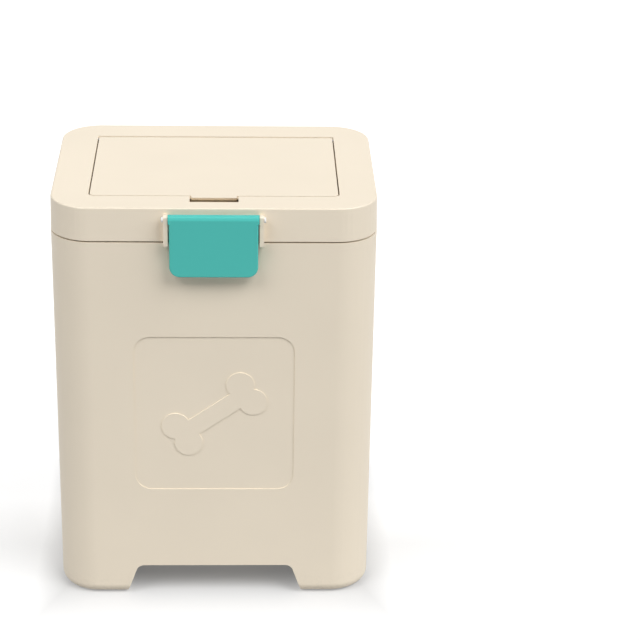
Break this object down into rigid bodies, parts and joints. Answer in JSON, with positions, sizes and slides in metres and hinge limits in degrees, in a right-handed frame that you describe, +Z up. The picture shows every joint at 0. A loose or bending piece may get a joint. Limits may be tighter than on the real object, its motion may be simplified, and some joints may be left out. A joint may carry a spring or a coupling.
{
  "type": "dog waste station",
  "caption": "Lidded dog waste bin with a front latch, a flap over a bag roll, an odour filter in the lid and a lift-out bucket with folding handles.",
  "frame": {"origin": "on the floor, under the middle of the body", "axes": "+Z up, front towards -Y, +X to the right seen from the front"},
  "size_m": [0.34, 0.2818, 0.457],
  "materials": {
    "cream_plastic": "satin moulded",
    "pale_plastic": "satin moulded",
    "teal_plastic": "satin moulded",
    "black_plastic": "satin moulded",
    "grey_plastic": "fine grained",
    "dark_plastic": "fine grained",
    "black_rubber": "matt",
    "grey_rubber": "matt",
    "steel": "brushed",
    "carbon_foam": "porous",
    "teal_film": "thin film",
    "card": "card"
  },
  "bodies": {
    "bin": {"bin_shell": "cream_plastic", "bin_floor": "cream_plastic", "rim_gasket": "black_rubber", "latch_catch": "pale_plastic", "lid_hinge_pins": "steel"},
    "lid": {"lid_shell": "cream_plastic", "lid_inner_panel": "cream_plastic", "roll_tub": "cream_plastic", "lid_seal": "grey_rubber", "filter_grille": "pale_plastic", "carbon_filter": "carbon_foam", "filter_cover": "cream_plastic", "roll_cradle_left": "black_plastic", "roll_cradle_right": "black_plastic", "latch_bracket": "cream_plastic", "latch_pin": "pale_plastic"},
    "flap": {"flap": "cream_plastic", "flap_pins": "steel"},
    "latch": {"latch": "teal_plastic"},
    "roll": {"roll_film": "teal_film", "roll_core": "card", "core_plug_left": "black_plastic", "core_plug_right": "black_plastic"},
    "bucket": {"bucket_collar": "grey_plastic", "bucket_well": "dark_plastic", "bucket_rim": "black_plastic", "handle_pins": "steel"},
    "handle_left": {"handle_left": "black_plastic"},
    "handle_right": {"handle_right": "black_plastic"}
  },
  "joints": [
    {"name": "lid_hinge", "type": "hinge", "parent": "bin", "child": "lid", "pos_m": [0, 0.1347, 0.4198], "axis": [-1, 0, 0], "range_deg": [0, 105]},
    {"name": "flap_hinge", "type": "hinge", "parent": "lid", "child": "flap", "pos_m": [0, 0.0863, 0.4541], "axis": [-1, 0, 0], "range_deg": [0, 100]},
    {"name": "latch_hinge", "type": "hinge", "parent": "lid", "child": "latch", "pos_m": [0, -0.13584, 0.4478], "axis": [-1, 0, 0], "range_deg": [0, 110]},
    {"name": "roll_spin", "type": "hinge", "parent": "lid", "child": "roll", "pos_m": [0, 0.024, 0.423], "axis": [1, 0, 0], "continuous": true},
    {"name": "bucket_lift", "type": "slide", "parent": "bin", "child": "bucket", "axis": [0, 0, 1], "range_m": [0, 0.0721]},
    {"name": "handle_left_hinge", "type": "hinge", "parent": "bucket", "child": "handle_left", "pos_m": [-0.1492, 0, 0.405], "axis": [0, -1, 0], "range_deg": [0, 175.1]},
    {"name": "handle_right_hinge", "type": "hinge", "parent": "bucket", "child": "handle_right", "pos_m": [0.1492, 0, 0.405], "axis": [0, 1, 0], "range_deg": [0, 175.1]}
  ],
  "couplings": [
    {"joint": "bucket_lift", "follows": "lid_hinge", "m_per_rad": 0.039289},
    {"joint": "handle_left_hinge", "follows": "lid_hinge", "ratio": 1.6667},
    {"joint": "handle_right_hinge", "follows": "lid_hinge", "ratio": 1.6667}
  ]
}
